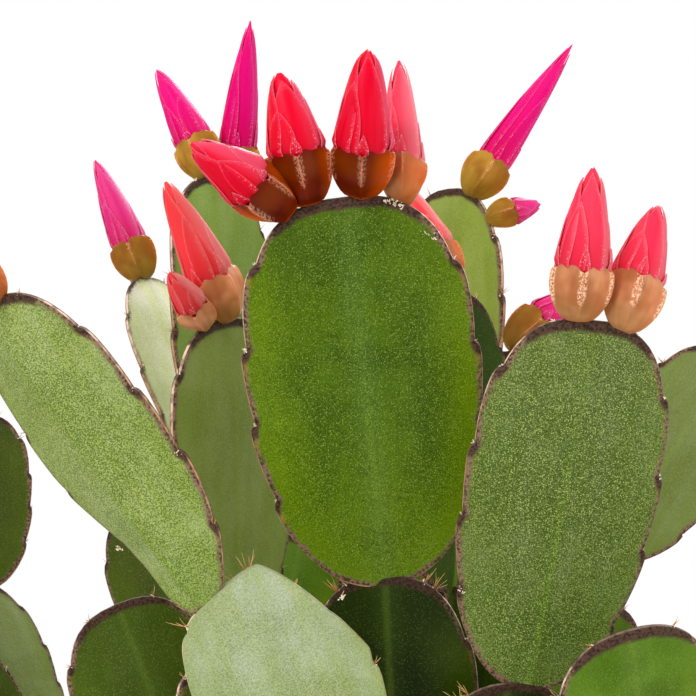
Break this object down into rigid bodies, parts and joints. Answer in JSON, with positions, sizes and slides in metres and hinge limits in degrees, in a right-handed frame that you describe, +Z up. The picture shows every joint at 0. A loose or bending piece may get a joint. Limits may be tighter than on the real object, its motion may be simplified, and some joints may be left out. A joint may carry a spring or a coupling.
{
  "type": "potted easter cactus",
  "caption": "Easter cactus with flat scalloped stem segments and closed pointed flower buds, rooted in soil in a plain round clay pot.",
  "frame": {"origin": "centre of the pot's flat underside", "axes": "+Z up along the pot's axis, +X to the right and -Y to the front, the side from which the tallest segment shows its flat face"},
  "size_m": [0.2054, 0.2084, 0.259],
  "materials": {
    "clay": "matte",
    "soil": "matte",
    "stem": "satin",
    "bud_cup": "satin",
    "petal": "satin"
  },
  "bodies": {
    "root": {"bud_cup_back_left_a": "bud_cup", "bud_cup_back_middle_left_a": "bud_cup", "bud_cup_back_right_a": "bud_cup", "bud_cup_back_right_b": "bud_cup", "bud_cup_front_a": "bud_cup", "bud_cup_front_b": "bud_cup", "bud_cup_front_c": "bud_cup", "bud_cup_middle_a": "bud_cup", "bud_cup_middle_left_a": "bud_cup", "bud_cup_middle_right_a": "bud_cup", "bud_cup_outer_a": "bud_cup", "bud_cup_outer_b": "bud_cup", "bud_cup_outer_c": "bud_cup", "bud_cup_outer_d": "bud_cup", "bud_cup_outer_e": "bud_cup", "bud_cup_outer_f": "bud_cup", "bud_cup_right_a": "bud_cup", "bud_petals_back_left_a1": "petal", "bud_petals_back_middle_left_a1": "petal", "bud_petals_back_middle_left_a2": "petal", "bud_petals_back_right_a1": "petal", "bud_petals_back_right_b1": "petal", "bud_petals_front_a1": "petal", "bud_petals_front_a2": "petal", "bud_petals_front_b1": "petal", "bud_petals_front_c1": "petal", "bud_petals_middle_a1": "petal", "bud_petals_middle_left_a1": "petal", "bud_petals_middle_left_a2": "petal", "bud_petals_middle_right_a1": "petal", "bud_petals_outer_a1": "petal", "bud_petals_outer_a2": "petal", "bud_petals_outer_b1": "petal", "bud_petals_outer_b2": "petal", "bud_petals_outer_c1": "petal", "bud_petals_outer_c2": "petal", "bud_petals_outer_d1": "petal", "bud_petals_outer_d2": "petal", "bud_petals_outer_e1": "petal", "bud_petals_outer_e2": "petal", "bud_petals_outer_f1": "petal", "bud_petals_outer_f2": "petal", "bud_petals_right_a1": "petal", "bud_petals_right_a2": "petal", "pot": "clay", "shoot_back": "stem", "shoot_back_left": "stem", "shoot_back_middle_left": "stem", "shoot_back_right": "stem", "shoot_far_left": "stem", "shoot_front_left": "stem", "shoot_front_middle": "stem", "shoot_front_right": "stem", "shoot_left": "stem", "shoot_middle": "stem", "shoot_middle_left": "stem", "shoot_middle_right": "stem", "shoot_right": "stem", "shoot_right_low": "stem", "soil": "soil"}
  },
  "joints": []
}
